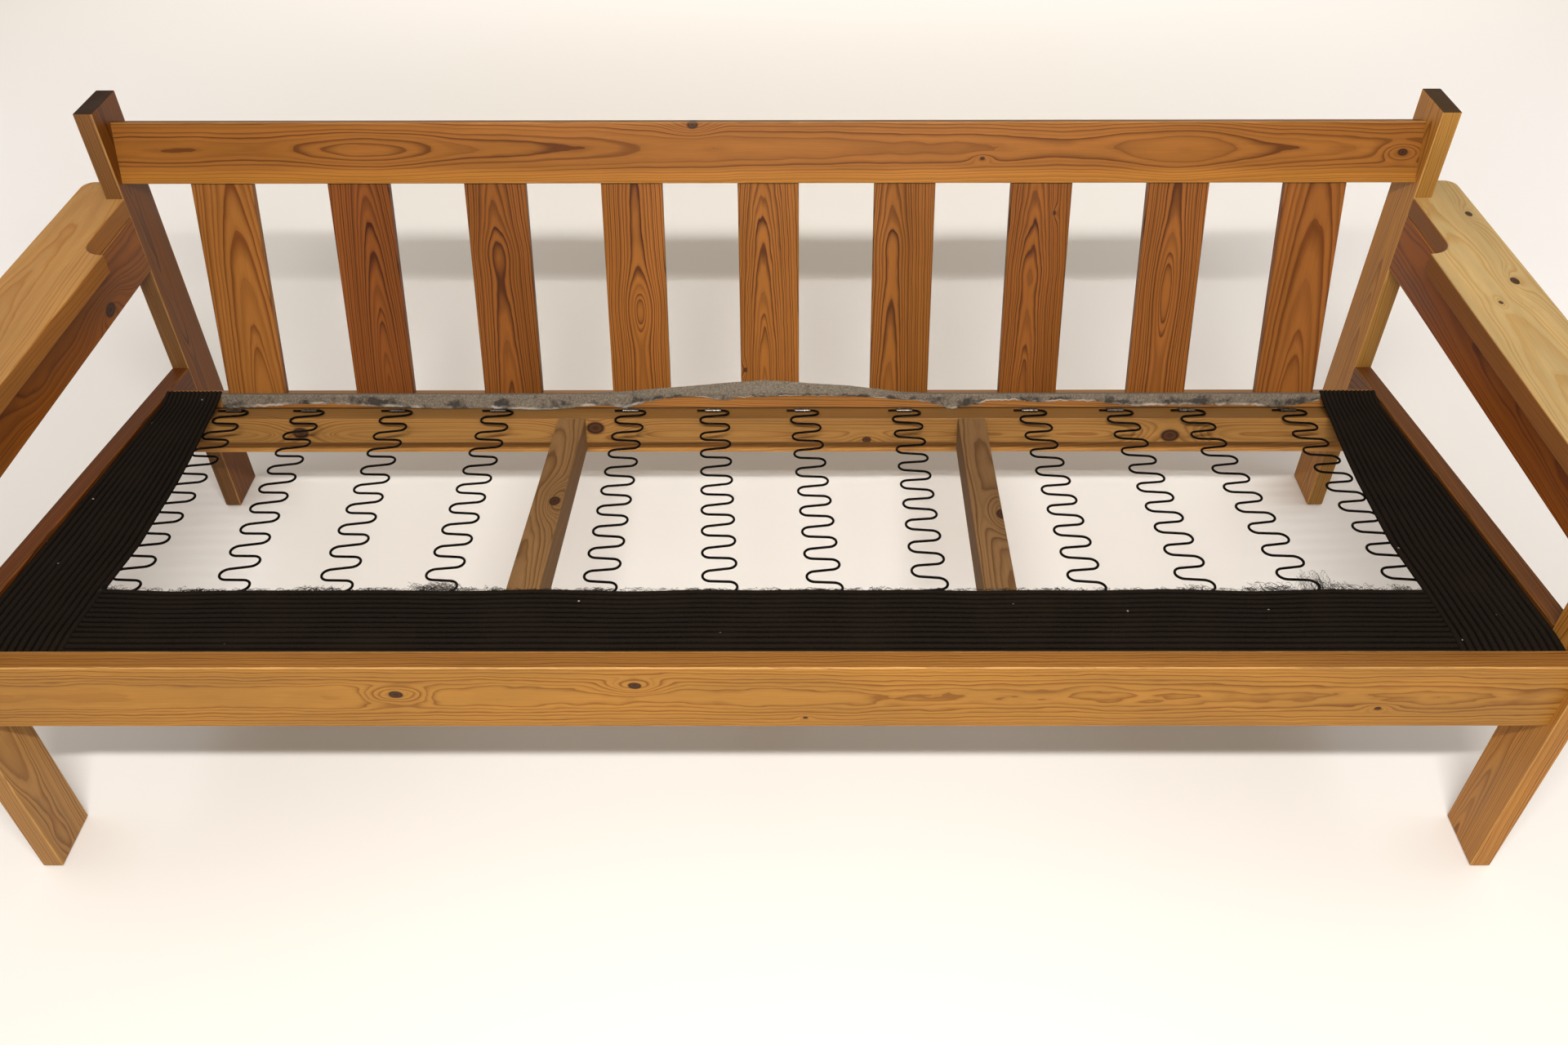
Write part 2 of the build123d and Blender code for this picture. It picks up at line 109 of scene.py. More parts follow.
def finish_material(tree, **inputs):
    """Ends a tree in one surface shader, with underscores in the names for spaces."""
    named = {name.replace("_", " "): value for name, value in inputs.items()}
    shader = add(tree, "ShaderNodeBsdfPrincipled", named)
    add(tree, "ShaderNodeOutputMaterial", {"Surface": shader})


def mesh_object(name, points, faces, material):
    """A new smooth object from points in metres and faces, with one material."""
    mesh = bpy.data.meshes.new(name)
    mesh.from_pydata(points, [], faces)
    mesh.materials.append(material)
    mesh.polygons.foreach_set("use_smooth", [True] * len(mesh.polygons))
    mesh.update()
    made = bpy.data.objects.new(name, mesh)
    bpy.context.scene.collection.objects.link(made)
    return made


def grid_faces(rows, steps):
    """The faces of a grid of points that were listed row by row."""
    faces = []
    for row in range(rows):
        for step in range(steps):
            here = row * (steps + 1) + step
            above = here + steps + 1
            faces.append((here, here + 1, above + 1, above))
    return faces


floor_half_width = 7.0
floor_front = -5.0
floor_rear = 7.0
sweep_radius = 2.5
sweep_steps = 16

paper, tree = new_material("seamless_paper_matt")
grey = add(tree, "ShaderNodeTexNoise", {"Scale": 1.6, "Detail": 3.0})
tone = add(tree, "ShaderNodeValToRGB", {"Fac": grey}, stops=[(0.3, "#F1EEEA"), (0.7, "#F2EFEB")])
finish_material(tree, Base_Color=tone, Roughness=0.75)

profile = [(floor_front, 0.0), (floor_rear, 0.0)]
for step in range(1, sweep_steps + 1):
    angle = math.pi / 2 * step / sweep_steps
    sweep_height = sweep_radius * (1 - math.cos(angle))
    profile.append((floor_rear + sweep_radius * math.sin(angle), sweep_height))
points = [(side * floor_half_width, y, z) for y, z in profile for side in (-1, 1)]
mesh_object("floor", points, grid_faces(len(profile) - 1, 1), paper)


# One wide lamp stands a little above the camera, so the rails' shadows fall behind them on the
# floor and the slats' shadows blur away. A narrow grid lamp deepens those shadows, and the others
# light the sheet behind and beside the sofa, in a warm white room. Sizes are in metres.
def lamp(name, place, target, width, height, watts, shade, spread=180.0):
    """A rectangular area lamp at a place, facing a target, its beam spread in degrees."""
    data = bpy.data.lights.new(name, "AREA")
    data.shape = "RECTANGLE"
    data.size = width
    data.size_y = height
    data.energy = watts
    data.color = linear(shade)[:3]
    data.spread = math.radians(spread)
    made = bpy.data.objects.new(name, data)
    made.matrix_world = Matrix.Translation(place) @ (
        Vector(target) - Vector(place)
    ).to_track_quat("-Z", "Y").to_matrix().to_4x4()
    made.visible_camera = False
    bpy.context.scene.collection.objects.link(made)


lamp("front_lamp", (0.10, -1.60, 2.20), (0.0, 0.5, 0.2), 1.3, 0.06, 69.0, "#FFFCF8")
lamp("background_lamp", (0.2, 3.0, 2.2), (0.2, 5.2, 0.4), 5.5, 0.6, 88.0, "#FFFCFC")
lamp("left_lamp", (-2.5, 0.8, 2.3), (-2.5, 0.8, 0.0), 1.0, 2.6, 13.0, "#F0F4FF", spread=100.0)
lamp("right_lamp", (2.5, 0.8, 2.3), (2.5, 0.8, 0.0), 1.0, 2.6, 14.0, "#F0F4FF", spread=100.0)
lamp("grid_lamp", (0.2, -2.6, 3.06), (0.2, 1.35, 0.0), 2.4, 0.06, 3.7, "#FFFDF8", spread=30.0)

room = bpy.data.worlds.new("white_room")
bpy.context.scene.world = room
room.use_nodes = True
room_light = room.node_tree.nodes["Background"].inputs
room_light["Color"].default_value = linear("#FFF1DD")
room_light["Strength"].default_value = 0.44
bpy.context.scene.view_settings.view_transform = "Standard"


# The frame is solid Scots pine, planed boards with eased arrises, stained and clear lacquered.
# The rings' dark late wood draws lines and arches, and the lacquer gives a satin gloss.
millimetre = 0.001
seat_slope = math.radians(7.5)
back_lean = math.radians(18.5)
level = Vector((1, 0, 0))
rearward = Vector((0, 1, 0))
upright = Vector((0, 0, 1))
down_the_seat = Vector((0, math.cos(seat_slope), -math.sin(seat_slope)))
square_to_seat = Vector((0, math.sin(seat_slope), math.cos(seat_slope)))
up_the_back = Vector((0, math.sin(back_lean), math.cos(back_lean)))

# Each pattern's size is in mm: along the grain, across the board and through it. A knot's reach,
# its push on the rings and its length are shares of its radius.
bend_size = (150, 110, 110)
ripple_size = (42, 11, 11)
fibre_size = (60, 1, 1)
stain_size = (260, 34, 34)
knot_reach = (6.5, 2.6)
knot_push = 2.2
knot_length = 1.45


def board_frame(board, along, across):
    """A board's middle, turn and half sizes, measured along its grain, across it and through it."""
    turn = Matrix((along, across, along.cross(across)))
    places = [turn @ vertex.co for vertex in board.data.vertices]
    low = Vector([min(place[axis] for place in places) for axis in range(3)])
    high = Vector([max(place[axis] for place in places) for axis in range(3)])
    turned_back = turn.transposed()
    return turned_back @ ((low + high) / 2), turned_back.to_euler(), (high - low) / 2


def per_size(size):
    """The scale that makes a pattern of size 1 as large as the three sizes in mm."""
    return tuple(1 / length for length in size)


def hill(tree, along, across, middle, half_widths):
    """A smooth hill of height 1 over a place along and across a board, in mm."""
    off_along = add(tree, "ShaderNodeMath", {0: along, 1: middle[0]}, operation="SUBTRACT")
    off_across = add(tree, "ShaderNodeMath", {0: across, 1: middle[1]}, operation="SUBTRACT")
    away = add(tree, "ShaderNodeCombineXYZ", {0: off_along, 1: off_across})
    away = add(tree, "ShaderNodeVectorMath", {0: away, 1: (*half_widths, 1.0)}, operation="DIVIDE")
    squared = add(tree, "ShaderNodeVectorMath", {0: away, 1: away}, operation="DOT_PRODUCT")
    squared = squared.node.outputs["Value"]
    fall = add(tree, "ShaderNodeMath", {0: squared, 1: -1.0}, operation="MULTIPLY")
    return add(tree, "ShaderNodeMath", {0: fall}, operation="EXPONENT")


def pine(node, along, across, early, late, ring=2.6, heart=(0, 40), climb=0.03, waver=4.0,
         ripple=0.7, eyes=(), knots=(), sapwood_and_painted_light=None, seed=0.0, face=None, painted_side_shade="#FFFFFF",
         wear=0.0, joint_shade_line=None, gloss=0.42):
    """Gives a board its own pine: growth rings round a heart line, eyes, knots and worn arrises.

    All sizes are in mm. early and late are the tones of a ring's pale and dark wood. heart is the
    pith's place across and through the board, and climb its slope. waver and ripple bend the rings.
    An eye is (along, half length, rise), where the rings come up to the face and close in ovals.
    A knot is (along, across, radius). The pale band is (line across, blur, tone): paler outer wood
    on the top back rail, and a painted light on the lower back rail's shaded edge.
    The painted side shade multiplies every face but the one that looks along face by a shade colour.
    wear is how pale the arrises are rubbed, the joint shade line is the place across of a joint that
    is painted dark as the shade in its gap, and gloss is the lacquer's roughness.
    """
    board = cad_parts[node]
    middle, turn, half = board_frame(board, along, across)
    material, tree = new_material(f"lacquered_pine_{node}")
    where = add(tree, "ShaderNodeTexCoord").node
    local = add(tree, "ShaderNodeMapping", {
        "Vector": where.outputs["Object"], "Location": middle, "Rotation": turn,
        "Scale": (millimetre,) * 3}, vector_type="TEXTURE")
    straight_x, straight_y, straight_z = add(tree, "ShaderNodeSeparateXYZ", {0: local}).node.outputs

    # The tree's bends move the rings over a wide stretch, and ripples over a small one.
    bent = local
    for size, shift, offset in (
        (bend_size, (6.0, 0.9 * waver, 2.2 * waver), 0.0),
        (ripple_size, (0.0, 2.0 * ripple, 2.0 * ripple), 5.0),
    ):
        spread = add(tree, "ShaderNodeVectorMath", {0: local, 1: per_size(size)}, operation="MULTIPLY")
        drift = add(tree, "ShaderNodeTexNoise", {
            "Vector": spread, "W": seed + offset, "Scale": 1.0, "Detail": 1.5}, noise_dimensions="4D")
        drift = add(tree, "ShaderNodeVectorMath", {
            0: drift.node.outputs["Color"], 1: (0.5, 0.5, 0.5)}, operation="SUBTRACT")
        bent = add(tree, "ShaderNodeVectorMath", {
            0: drift, 1: shift, 2: bent}, operation="MULTIPLY_ADD")
    x, y, z = add(tree, "ShaderNodeSeparateXYZ", {0: bent}).node.outputs

    # Rings lie round the heart line, which an eye lowers and a knot pushes away.
    off_heart_y = add(tree, "ShaderNodeMath", {0: y, 1: heart[0]}, operation="SUBTRACT")
    off_heart_z = add(tree, "ShaderNodeMath", {0: x, 1: -climb, 2: z}, operation="MULTIPLY_ADD")
    off_heart_z = add(tree, "ShaderNodeMath", {0: off_heart_z, 1: heart[1]}, operation="SUBTRACT")
    far_across = 400.0
    for place, half_length, rise in eyes:
        swell = hill(tree, x, y, (place, 0.0), (half_length, far_across))
        off_heart_z = add(tree, "ShaderNodeMath", {
            0: swell, 1: rise, 2: off_heart_z}, operation="MULTIPLY_ADD")
    spoke = add(tree, "ShaderNodeCombineXYZ", {1: off_heart_y, 2: off_heart_z})
    radius = add(tree, "ShaderNodeVectorMath", {0: spoke}, operation="LENGTH").node.outputs["Value"]
    for knot_x, knot_y, knot_radius in knots:
        swell_size = [share * knot_radius for share in knot_reach]
        swell = hill(tree, straight_x, straight_y, (knot_x, knot_y), swell_size)
        radius = add(tree, "ShaderNodeMath", {
            0: swell, 1: knot_push * knot_radius, 2: radius}, operation="MULTIPLY_ADD")

    # Wide and narrow years follow each other. Each ring darkens slowly and then ends sharply.
    year = add(tree, "ShaderNodeMath", {0: radius, 1: ring}, operation="DIVIDE")
    weather = add(tree, "ShaderNodeTexNoise", {
        "W": year, "Scale": 0.31, "Detail": 1.0}, noise_dimensions="1D")
    year = add(tree, "ShaderNodeMath", {0: weather, 1: 2.6, 2: year}, operation="MULTIPLY_ADD")
    season = add(tree, "ShaderNodeMath", {0: year}, operation="FRACT")
    late_wood = add(tree, "ShaderNodeValToRGB", {"Fac": season}, stops=[
        (0.0, "#A8A8A8"), (0.15, "#0C0C0C"), (0.42, "#282828"), (0.72, "#C8C8C8"),
        (0.88, "#FFFFFF")])
    harvest = add(tree, "ShaderNodeTexNoise", {
        "W": year, "Scale": 0.83, "Detail": 0.0}, noise_dimensions="1D")
    harvest = add(tree, "ShaderNodeMapRange", {"Value": harvest, 1: 0.3, 2: 0.65, 3: 0.35, 4: 1.0})
    late_wood = add(tree, "ShaderNodeMath", {0: late_wood, 1: harvest}, operation="MULTIPLY")
    colour = add(tree, "ShaderNodeMix", {
        "Factor": late_wood, 6: linear(early), 7: linear(late)}, data_type="RGBA").node.outputs[2]

    # Fibres draw fine streaks, and the stain lies in broad soft tones.
    fine = add(tree, "ShaderNodeVectorMath", {0: bent, 1: per_size(fibre_size)}, operation="MULTIPLY")
    fibre = add(tree, "ShaderNodeTexNoise", {
        "Vector": fine, "Scale": 0.9, "Detail": 3.0, "Roughness": 0.65})
    broad = add(tree, "ShaderNodeVectorMath", {0: local, 1: per_size(stain_size)}, operation="MULTIPLY")
    stain = add(tree, "ShaderNodeTexNoise", {
        "Vector": broad, "W": seed + 7.0, "Scale": 1.0, "Detail": 2.0}, noise_dimensions="4D")
    for pattern, low, high in ((fibre, 0.90, 1.10), (stain, 0.86, 1.12)):
        factor = add(tree, "ShaderNodeMapRange", {"Value": pattern, 1: 0.3, 2: 0.7, 3: low, 4: high})
        colour = add(tree, "ShaderNodeVectorMath", {0: colour, "Scale": factor}, operation="SCALE")

    # A paler band past a line across the board: sapwood on some boards, painted light on a shaded edge.
    if sapwood_and_painted_light:
        line, blur, pale = sapwood_and_painted_light
        beyond = add(tree, "ShaderNodeMapRange", {
            "Value": y, 1: line - blur, 2: line + blur, 3: 1.0, 4: 0.0})
        colour = add(tree, "ShaderNodeMix", {"Factor": beyond, 6: colour, 7: linear(pale)},
                     data_type="RGBA", blend_type="SCREEN").node.outputs[2]

    # Each knot is a branch cut across: a dark bark ring round a red-brown middle.
    for knot_x, knot_y, knot_radius in knots:
        core = hill(tree, x, y, (knot_x, knot_y), (knot_length * knot_radius, knot_radius))
        shades = add(tree, "ShaderNodeValToRGB", {"Fac": core}, stops=[
            (0.20, late), (0.34, "#2E190C"), (0.52, "#160B05"), (0.68, "#432411"), (0.97, "#26130A")])
        inside = add(tree, "ShaderNodeMapRange", {"Value": core, 1: 0.16, 2: 0.40, 3: 0.0, 4: 0.95})
        colour = add(tree, "ShaderNodeMix", {"Factor": inside, 6: colour, 7: shades},
                     data_type="RGBA").node.outputs[2]

    # Painted shade: every face but the one that looks along face is multiplied by the side shade
    # colour, as if less light fell on it.
    outward = where.outputs["Normal"]
    if face is not None:
        facing = add(tree, "ShaderNodeVectorMath", {0: outward, 1: face}, operation="DOT_PRODUCT")
        away = add(tree, "ShaderNodeMapRange", {
            "Value": facing.node.outputs["Value"], 1: 0.45, 2: 0.85, 3: 1.0, 4: 0.0})
        colour = add(tree, "ShaderNodeMix", {"Factor": away, 6: colour, 7: linear(painted_side_shade)},
                     data_type="RGBA", blend_type="MULTIPLY").node.outputs[2]

    # Hands and cushions rub the arrises pale, along a ragged line.
    if wear:
        to_side = add(tree, "ShaderNodeMath", {0: straight_y}, operation="ABSOLUTE")
        to_top = add(tree, "ShaderNodeMath", {0: straight_z}, operation="ABSOLUTE")
        out = add(tree, "ShaderNodeMath", {0: to_side, 1: to_top}, operation="ADD")
        corner = (half[1] + half[2]) / millimetre
        inset = add(tree, "ShaderNodeMath", {0: corner, 1: out}, operation="SUBTRACT")
        ragged = add(tree, "ShaderNodeMath", {
            0: fibre, 1: -3.0, 2: inset}, operation="MULTIPLY_ADD")
        rubbed = add(tree, "ShaderNodeMapRange", {
            "Value": ragged, 1: -0.6, 2: 0.6, 3: wear, 4: 0.0})
        colour = add(tree, "ShaderNodeMix", {"Factor": rubbed, 6: colour, 7: linear("#C79A5C")},
                     data_type="RGBA").node.outputs[2]

    # Painted shade: a dark line about 2 mm wide stands for the shade in a joint's narrow gap.
    if joint_shade_line is not None:
        off_joint = add(tree, "ShaderNodeMath", {0: straight_y, 1: joint_shade_line}, operation="SUBTRACT")
        off_joint = add(tree, "ShaderNodeMath", {0: off_joint}, operation="ABSOLUTE")
        in_joint_shade = add(tree, "ShaderNodeMapRange", {
            "Value": off_joint, 1: 0.6, 2: 1.6, 3: 0.9, 4: 0.0})
        colour = add(tree, "ShaderNodeMix", {"Factor": in_joint_shade, 6: colour, 7: linear("#201006")},
                     data_type="RGBA").node.outputs[2]

    # End grain soaks up more stain and dirt.
    endways = add(tree, "ShaderNodeVectorMath", {0: outward, 1: along}, operation="DOT_PRODUCT")
    endways = add(tree, "ShaderNodeMath", {0: endways.node.outputs["Value"]}, operation="ABSOLUTE")
    soaked = add(tree, "ShaderNodeMapRange", {"Value": endways, 1: 0.7, 2: 0.9, 3: 0.0, 4: 1.0})
    colour = add(tree, "ShaderNodeMix", {"Factor": soaked, 6: colour, 7: linear("#6A645C")},
                 data_type="RGBA", blend_type="MULTIPLY").node.outputs[2]

    # The thin lacquer has sunk in, so it shines unevenly and mirrors little.
    satin = add(tree, "ShaderNodeMapRange", {
        "Value": stain, 1: 0.3, 2: 0.7, 3: gloss - 0.05, 4: gloss + 0.08})
    relief = add(tree, "ShaderNodeMath", {0: fibre, 1: 0.7, 2: late_wood}, operation="MULTIPLY_ADD")
    normal = add(tree, "ShaderNodeBump", {"Strength": 0.3, "Distance": 0.00012, "Height": relief})
    finish_material(tree, Base_Color=colour, Roughness=satin, Specular_IOR_Level=0.17,
                    Normal=normal)
    board.data.materials.clear()
    board.data.materials.append(material)


# Each end of the sofa is two posts, a side rail and an apron on edge, and a wide arm board laid on
# top, all dowelled. The boards came from different trees and have darkened differently: the left
# end is darker, the right arm is palest, and the cushions shaded the side rails.
# The rear posts and the arm boards get painted side shade: all their faces but one are multiplied by a
# shade colour.
pine("left_front_post", upright, rearward, "#A37740", "#774D23", ring=2.6, heart=(-12, 40),
     climb=-0.03, seed=50.0, wear=0.5)
pine("right_front_post", upright, rearward, "#AC7634", "#7D4C1B", ring=2.4, heart=(12, 40),
     climb=0.03, seed=52.0, wear=0.5)
pine("left_rear_post", upright, rearward, "#704D29", "#4A2B14", ring=2.2, heart=(-14, -44),
     climb=0.02, seed=53.0, painted_side_shade="#FFD881", face=(0, -1, 0), wear=0.5)
pine("right_rear_post", upright, rearward, "#AD7633", "#7E4D1A", ring=2.6, heart=(-14, 44),
     climb=0.02, seed=55.0, painted_side_shade="#E0EEFF", face=(-1, 0, 0), wear=0.5)
pine("left_arm_apron", rearward, upright, "#834A0D", "#5E2C03", ring=3.6, heart=(10, -60),
     climb=0.02, waver=8.0, knots=[(189, -27, 9.0)], seed=56.0, wear=0.3)
pine("right_arm_apron", rearward, upright, "#894909", "#642C02", ring=3.0, heart=(10, 60),
     climb=0.02, waver=5.0, seed=58.0, wear=0.3)
pine("left_side_rail", down_the_seat, square_to_seat, "#62330F", "#351503", heart=(0, -50),
     seed=60.0, wear=0.1)
pine("right_side_rail", down_the_seat, square_to_seat, "#6A3E19", "#3F210B", heart=(0, 50),
     seed=62.0, wear=0.1)
pine("left_arm_board", rearward, level, "#A77D49", "#996833", ring=3.4, heart=(-20, 60),
     climb=0.03, waver=6.0, seed=67.0, painted_side_shade="#D8BF90", face=(0, 0, 1), wear=0.4, gloss=0.5)
pine("right_arm_board", rearward, level, "#AD9364", "#A07D47", ring=3.4, heart=(-10, 60),
     climb=0.02, waver=6.0, knots=[(299, 38, 4.5), (116, 28, 5.5), (62, -12, 2.6)], seed=69.0,
     painted_side_shade="#B88A60", face=(0, 0, 1), wear=0.3, gloss=0.5)


# Three rails run the sofa's whole width: the front rail stands on edge between the front posts,
# and the lower and the top back rail lean with the back. All are dowelled. Pale sapwood runs along
# the top back rail's lower edge. The lower back rail's edge below the bearer is painted paler, a
# painted light over the bearer's shadow, and its joint with the bearer is a painted dark line of
# shade. The front rail's arrises are rubbed.
pine("top_back_rail", level, up_the_back, "#80501C", "#4F2806", ring=2.8, heart=(6, 58),
     climb=0.01, eyes=[(609, 90, 7), (-560, 120, 6)],
     knots=[(-109, 40, 5.0), (313, -8, 2.2), (925, 0, 4.5)],
     sapwood_and_painted_light=(-24, 5, "#5A3A10"), seed=41.0, wear=0.3)
# Painted light brightens this rail's edge below the bearer, and painted shade draws its joint with the
# bearer.
pine("lower_back_rail", level, up_the_back, "#92622F", "#573415", ring=2.8, heart=(-10, 50),
     sapwood_and_painted_light=(-27, 3, "#6B4A22"), seed=43.0, wear=0.3, joint_shade_line=26.6)
# The front rail's faces other than its front get painted side shade.
pine("front_rail", level, upright, "#A37331", "#7B4C19", ring=2.4, heart=(2, -50),
     climb=-0.004, ripple=1.7, waver=3.0,
     knots=[(-431, 6, 5.5), (-148, 22, 5.0), (52, -36, 2.0), (736, -19, 2.6)],
     seed=45.0, painted_side_shade="#D3CBD8", face=(0, -1, 0), wear=0.8, gloss=0.46)


# The back's nine slats are thin pine boards, housed in both back rails and flat-sawn, so that each
# shows its own row of arches. Each row below is one slat, from the left: the tones of its early and
# late wood, then its ring, heart, climb, ripple, eyes and knots, in mm.
slat_woods = [
    ("#885724", "#5D300D", 5.2, (12, 20), 0.09, 1.0, [], []),
    ("#703E14", "#311002", 3.2, (9, 9), 0.085, 1.0, [], []),
    ("#724213", "#321202", 3.4, (-3, 15), 0.055, 1.2, [(60, 30, 4)], []),
    ("#83501B", "#3B1703", 3.1, (4, 13), 0.03, 0.8, [(-27, 42, 10)], []),
    ("#82501B", "#3A1703", 3.0, (-8, 9), 0.075, 1.9, [], [(-124, -38, 2.4)]),
    ("#7A4A17", "#361502", 3.0, (-16, 14), 0.045, 1.1, [(70, 35, 3)], []),
    ("#754413", "#341302", 3.0, (-8, 11), 0.06, 1.9, [(30, 30, 4)], [(118, 22, 2.2)]),
    ("#7C4A1A", "#371502", 3.3, (-1, 12), 0.02, 0.9, [(10, 75, 9)], []),
    ("#7C4B1C", "#542908", 6.0, (8, 24), 0.09, 1.1, [], []),
]
for number, (early, late, ring, heart, climb, ripple, eyes, knots) in enumerate(slat_woods, start=1):
    pine(f"back_slat_{number}", up_the_back, level, early, late, ring=ring, heart=heart,
         climb=climb, ripple=ripple, eyes=eyes, knots=knots, waver=2.6, seed=3.1 * number)


# The seat hangs in a light under-frame of plain, knotty pine: a bearer along the front rail and
# one along the lower back rail, two braces between them, and a batten along each side rail.
# Bearers and battens are screwed on, and the braces are dowelled.
pine("rear_spring_bearer", level, up_the_back, "#886232", "#6A431C", ring=3.0, heart=(-6, 34),
     climb=0.006,
     knots=[(-270, 4, 9.0), (150, -15, 4.5), (-726, -4, 8.0), (-752, 28, 3.5), (620, -9, 9.0)],
     seed=47.0)
pine("front_spring_bearer", level, upright, "#936837", "#6B4420", seed=49.0)
pine("left_brace", down_the_seat, level, "#7C5C39", "#5B3E20", ring=2.2, heart=(-14, 36),
     climb=0.02, waver=3.0, knots=[(26, 10, 7.0)], seed=70.0, wear=0.2, gloss=0.75)
pine("right_brace", down_the_seat, level, "#755737", "#563A1F", ring=2.2, heart=(14, 36),
     climb=0.02, waver=3.0, knots=[(-8, 19, 7.0)], seed=72.0, wear=0.2, gloss=0.75)
for side, seed in (("left", 63.0), ("right", 65.0)):
    pine(f"{side}_side_batten", down_the_seat, square_to_seat, "#936837", "#6B4420", seed=seed)


# Dowels turned from birch are glued into every joint of the frame, and are hidden in it. They were
# never stained, so they are pale, with short fine fibres.
birch, tree = new_material("turned_birch_dowel")
fibre = add(tree, "ShaderNodeTexNoise", {"Scale": 700.0, "Detail": 2.0})
tone = add(tree, "ShaderNodeValToRGB", {"Fac": fibre}, stops=[(0.35, "#C9A877"), (0.65, "#DBBF92")])
finish_material(tree, Base_Color=tone, Roughness=0.6)


def dress(nodes, material):
    """Puts one material on several nodes of the frame."""
    for node in nodes:
        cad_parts[node].data.materials.clear()
        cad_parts[node].data.materials.append(material)


dress(["left_frame_dowels", "right_frame_dowels", "left_arm_dowels", "right_arm_dowels",
       "cross_rail_dowels", "brace_dowels"], birch)


# The twelve zigzag springs are hard drawn steel wire, blued by heat, dark bronze to black.
# Their clips are zinc plated strip, folded over the wire and nailed down.
def metal(name, dark, bright, roughness, mottle_size):
    """A metal with mottled colour and gloss, the mottling's size in mm."""
    material, tree = new_material(name)
    where = add(tree, "ShaderNodeTexCoord").node.outputs["Object"]
    mottle = add(tree, "ShaderNodeTexNoise", {
        "Vector": where, "Scale": 1 / (mottle_size * millimetre), "Detail": 4.0})
    tone = add(tree, "ShaderNodeValToRGB", {"Fac": mottle}, stops=[(0.35, dark), (0.65, bright)])
    gloss = add(tree, "ShaderNodeMapRange", {
        "Value": mottle, 1: 0.3, 2: 0.7, 3: roughness + 0.12, 4: roughness})
    finish_material(tree, Base_Color=tone, Metallic=1.0, Roughness=gloss)
    return material


spring_count = 12
dress([f"seat_spring_{number}" for number in range(1, spring_count + 1)],
      metal("blued_spring_wire", "#0A0908", "#1A1613", 0.55, 9.0))
dress(["rear_spring_clips", "front_spring_clips"],
      metal("zinc_plated_strip", "#45413C", "#7A756E", 0.24, 6.0))
dress(["rear_clip_nails", "front_clip_nails", "rear_bearer_screws", "front_bearer_screws",
       "left_batten_screws", "right_batten_screws"],
      metal("bright_steel_wire_nails", "#8C8882", "#BDB9B2", 0.34, 4.0))


# The seat cover's border is wide-wale cotton corduroy, almost black, cut from a fitted cover.
# Its front strip and two side strips are sewn together, tacked to the frame and lie on the springs.
# Thirteen wales about 9.5 mm wide run along each strip, rounded above narrow grooves.
wales_per_strip = 13
wale_height = 2.0 * millimetre
wale_roundness = 0.7
points_per_wale = 8
cloth_base = 0.9 * millimetre
unevenness = 0.35 * millimetre
bumps_per_metre = 60

# Places are in metres: the strips' own boxes, then their heights, seams and rear ends.
front_low, front_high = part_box("corduroy_front_strip")
side_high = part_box("right_corduroy_strip")[1]
cloth_front_height = 0.3806
level_until = -0.335
seam_front_x = 0.824
seam_rear_x = 0.825
side_rear_x = 0.862
seat_rear_y = 0.2218
side_rear_height = 0.3125

# Short dense pile gives almost no light back. The wales' crests are painted a little brown and the
# grooves darker, a painted light and shade, and patches of dust and a few white specks of lint lie on
# it. Single tufts are too fine to show, so the pile is drawn about 1 mm wide. The numbers are of
# tufts, rubbed patches and specks to the metre.
pile_per_metre = 900.0
patches_per_metre = 14.0
lint_per_metre = 21.0
corduroy, tree = new_material("wide_wale_cotton_corduroy")
where = add(tree, "ShaderNodeTexCoord").node.outputs["Object"]
pile = add(tree, "ShaderNodeTexNoise", {"Vector": where, "Scale": pile_per_metre, "Detail": 3.0})
rubbed = add(tree, "ShaderNodeTexNoise", {
    "Vector": where, "Scale": patches_per_metre, "Detail": 4.0})
# Painted light and shade: the crests are painted lighter, the grooves darker.
crest = add(tree, "ShaderNodeAttribute", attribute_name="crest").node.outputs["Fac"]
crest_light_and_pile = add(tree, "ShaderNodeMath", {0: crest, 1: 0.5, 2: pile}, operation="MULTIPLY_ADD")
tone = add(tree, "ShaderNodeValToRGB", {"Fac": crest_light_and_pile}, stops=[(0.58, "#030202"), (1.0, "#1D1711")])
dust = add(tree, "ShaderNodeMapRange", {"Value": rubbed, 1: 0.45, 2: 0.8, 3: 0.0, 4: 0.35})
tone = add(tree, "ShaderNodeMix", {"Factor": dust, 6: tone, 7: linear("#211A13")},
           data_type="RGBA").node.outputs[2]
lint = add(tree, "ShaderNodeTexVoronoi", {"Vector": where, "Scale": lint_per_metre})
specks = add(tree, "ShaderNodeMapRange", {"Value": lint, 1: 0.018, 2: 0.034, 3: 0.75, 4: 0.0})
tone = add(tree, "ShaderNodeMix", {"Factor": specks, 6: tone, 7: linear("#B4ADA2")},
           data_type="RGBA").node.outputs[2]
normal = add(tree, "ShaderNodeBump", {"Strength": 0.6, "Distance": 0.0004, "Height": pile})
finish_material(tree, Base_Color=tone, Roughness=0.95, Specular_IOR_Level=0.06, Normal=normal)


